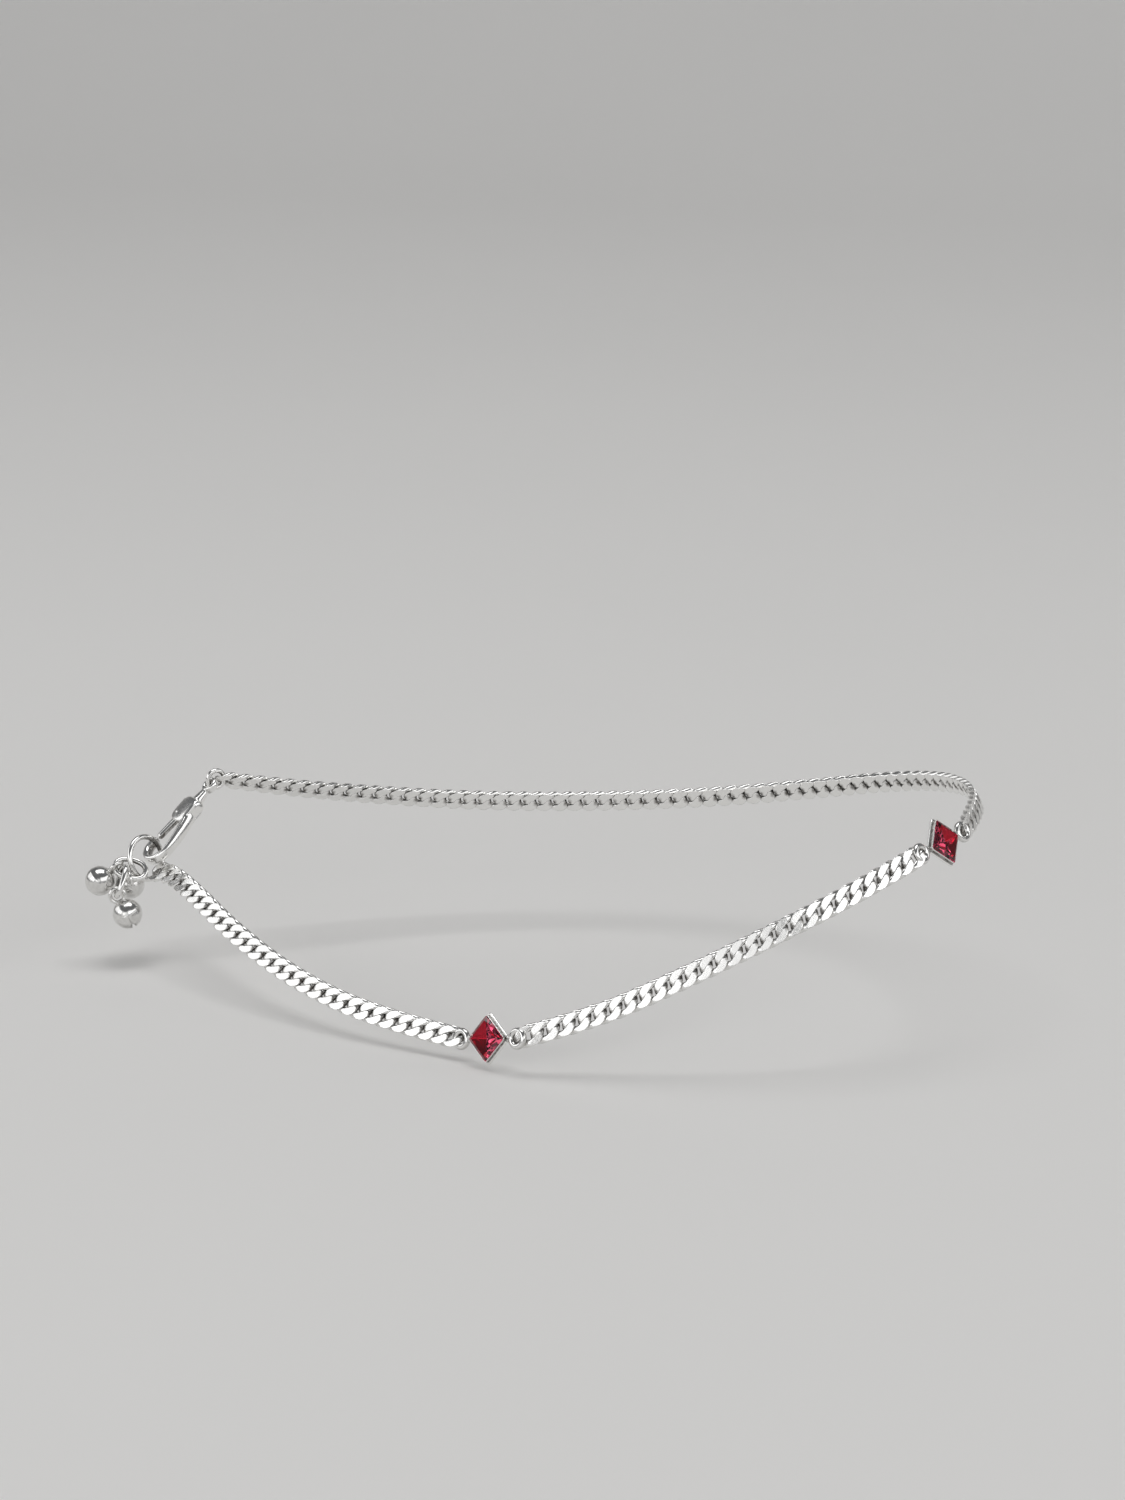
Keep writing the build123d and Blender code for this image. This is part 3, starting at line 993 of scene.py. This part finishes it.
class ANKLET_OT_rings(bpy.types.Operator):
    """Jump ring and the clasp's end ring"""

    bl_idname = "anklet.rings"
    bl_label = "Rings"

    def execute(self, context):
        rings = in_mm(context.scene.anklet_findings)
        count, sides = 120, 20
        jump_ring = ring_surface(rings.jump_radius, rings.jump_wire / 2, count, sides)
        # The cut where the jump ring opens is a fine line of painted shade across its wire
        cut_angle, cut_width = 1.1, 0.02
        cut = np.exp(-(((full_turn(count) - cut_angle) / cut_width) ** 2))[:, None]
        dark = np.maximum(0.9 * cut, wire_shade_and_tarnish(sides))
        make_piece(
            "large_jump_ring", seated([shell(jump_ring, True, dark)], JUMP_RING_SEAT),
            "polished silver findings", "jump_ring",
        )
        count, sides = 72, 18
        end_ring = ring_surface(rings.end_radius, rings.end_wire / 2, count, sides)
        make_piece(
            "clasp_end_ring", seated([shell(end_ring, True, wire_shade_and_tarnish(sides))], END_RING_SEAT),
            "polished silver findings", "clasp_ring",
        )
        return {"FINISHED"}


class ANKLET_OT_clasp(bpy.types.Operator):
    """Lobster clasp: cast body and sprung lever"""

    bl_idname = "anklet.clasp"
    bl_label = "Lobster clasp"

    def execute(self, context):
        hollow_start, hollow_end = placed(CLASP_HOLLOW, CLASP_SEAT)
        for name, shells, node, body in (
            ("lobster_clasp_body", clasp_body_shells(), "clasp_body", BODY),
            ("lobster_clasp_lever", clasp_lever_shells(), "clasp_lever", LEVER_BODY),
        ):
            from_eye = [(points - CLASP_EYE, faces, dark) for points, faces, dark in shells]
            piece = make_piece(
                name, seated(from_eye, CLASP_SEAT), "polished silver findings", node,
                body=body,
            )
            melt_together(piece)
            # Painted shade on the faces that look into the clasp's hollow
            darken_hollow(piece.data, hollow_start, hollow_end)
        return {"FINISHED"}


class ANKLET_OT_drop_links(bpy.types.Operator):
    """Two chunky oval links of the drop"""

    bl_idname = "anklet.drop_links"
    bl_label = "Drop links"

    def execute(self, context):
        ovals = in_mm(context.scene.anklet_findings)
        half_wire, sides = ovals.oval_wire / 2, 20
        line = oval_line(ovals.oval_length, ovals.oval_width)
        oval = flat_tube(line, half_wire, half_wire, sides, closed=True)
        for name, placing in LINK_SEATS.items():
            make_piece(
                f"oval_{name}", seated([shell(oval, True, wire_shade_and_tarnish(sides))], placing),
                "polished silver findings", name,
            )
        return {"FINISHED"}


class ANKLET_OT_bells(bpy.types.Operator):
    """Three small round bells"""

    bl_idname = "anklet.bells"
    bl_label = "Bells"

    def execute(self, context):
        shells = bell_shells(in_mm(context.scene.anklet_bell))
        for name, seat in BELL_SEATS.items():
            make_piece(
                f"round_{name}", seated(shells, bell_placing(*seat)), "pressed silver bell",
                name,
            )
        return {"FINISHED"}


class ANKLET_OT_stage(bpy.types.Operator):
    """Floor, studio lights and camera"""

    bl_idname = "anklet.stage"
    bl_label = "Stage"

    def execute(self, context):
        self.add_sweep(context.scene)
        self.add_lights(context.scene)
        self.add_camera(context.scene)
        context.scene.view_settings.view_transform = "Standard"
        return {"FINISHED"}

    def add_sweep(self, scene):
        """Paper that lies flat, turns up by a quarter circle and stands behind the anklet."""
        a = np.linspace(0, pi / 2, 24)
        lying = [-2.0, *np.linspace(-1.5, 0.5, 12)]
        y = np.concatenate([lying, 0.6 + SWEEP_RADIUS * np.sin(a), [0.6 + SWEEP_RADIUS]])
        z = np.concatenate([np.zeros(len(lying)), SWEEP_RADIUS * (1 - np.cos(a)), [0.8]])
        z += CAD_BOX[0][2] - FLOOR_GAP
        x = np.linspace(-3, 3, 9)
        grid = np.stack(np.broadcast_arrays(x[None], y[:, None], z[:, None]), axis=-1)
        rows, columns = grid.shape[:2]
        corner = np.arange(rows - 1)[:, None] * columns + np.arange(columns - 1)[None]
        corners = [corner, corner + 1, corner + columns + 1, corner + columns]
        mesh = bpy.data.meshes.new("paper sweep")
        mesh.from_pydata(grid.reshape(-1, 3), [], np.stack(corners, axis=-1).reshape(-1, 4))
        mesh.polygons.foreach_set("use_smooth", np.full(len(mesh.polygons), True))
        mesh.materials.append(material(PAPER_FINISH))
        sweep = bpy.data.objects.new("paper_sweep", mesh)
        scene.collection.objects.link(sweep)

    def add_lights(self, scene):
        """Softboxes round the anklet in a dim grey room."""
        for name, (place, width, height, power) in SOFTBOXES.items():
            light = bpy.data.lights.new(name, "AREA")
            light.shape, light.size, light.size_y = "RECTANGLE", width, height
            light.energy = power
            lamp = bpy.data.objects.new(name, light)
            lamp.location = place
            lamp.rotation_euler = (-Vector(place)).to_track_quat("-Z", "Y").to_euler()
            scene.collection.objects.link(lamp)
        room = bpy.data.worlds.new("studio")
        room.use_nodes = True
        background = room.node_tree.nodes["Background"]
        background.inputs["Color"].default_value = ROOM_COLOUR
        background.inputs["Strength"].default_value = ROOM_LIGHT
        scene.world = room

    def add_camera(self, scene):
        """Long lens on the stones' side, a little above the anklet."""
        lens = bpy.data.cameras.new("camera")
        lens.type, lens.lens, lens.sensor_width = "PERSP", CAMERA_LENS, 36.0
        lens.clip_start, lens.clip_end = 0.01, 20.0
        camera = bpy.data.objects.new("camera", lens)
        right, up = Vector(CAMERA_RIGHT), Vector(CAMERA_UP)
        turn = Matrix((right, up, right.cross(up))).transposed()
        place = Vector(CAMERA_PLACE) - CAMERA_STEP * right
        camera.matrix_world = Matrix.Translation(place) @ turn.to_4x4()
        scene.collection.objects.link(camera)
        scene.camera = camera


OPERATORS = (
    ANKLET_OT_chain, ANKLET_OT_settings, ANKLET_OT_stones, ANKLET_OT_rings, ANKLET_OT_clasp,
    ANKLET_OT_drop_links, ANKLET_OT_bells, ANKLET_OT_stage,
)


class ANKLET_PT_panel(bpy.types.Panel):
    """Makes the anklet piece by piece"""

    bl_label = "Payal anklet"
    bl_idname = "ANKLET_PT_panel"
    bl_space_type = "VIEW_3D"
    bl_region_type = "UI"
    bl_category = "Anklet"

    def draw(self, context):
        for key in SETTINGS:
            group = getattr(context.scene, key)
            for name in setting_names(group):
                self.layout.prop(group, name)
        for operator in OPERATORS:
            self.layout.operator(operator.bl_idname)


def register():
    for kind in (*SETTINGS.values(), *OPERATORS, ANKLET_PT_panel):
        bpy.utils.register_class(kind)
    for name, kind in SETTINGS.items():
        setattr(bpy.types.Scene, name, bpy.props.PointerProperty(type=kind))


def unregister():
    for name in SETTINGS:
        delattr(bpy.types.Scene, name)
    for kind in (ANKLET_PT_panel, *OPERATORS, *SETTINGS.values()):
        bpy.utils.unregister_class(kind)


def main():
    """Register, and make every piece in order."""
    register()
    bpy.ops.anklet.chain()
    bpy.ops.anklet.settings()
    bpy.ops.anklet.stones()
    bpy.ops.anklet.rings()
    bpy.ops.anklet.clasp()
    bpy.ops.anklet.drop_links()
    bpy.ops.anklet.bells()
    bpy.ops.anklet.stage()


if __name__ == "__main__":
    main()
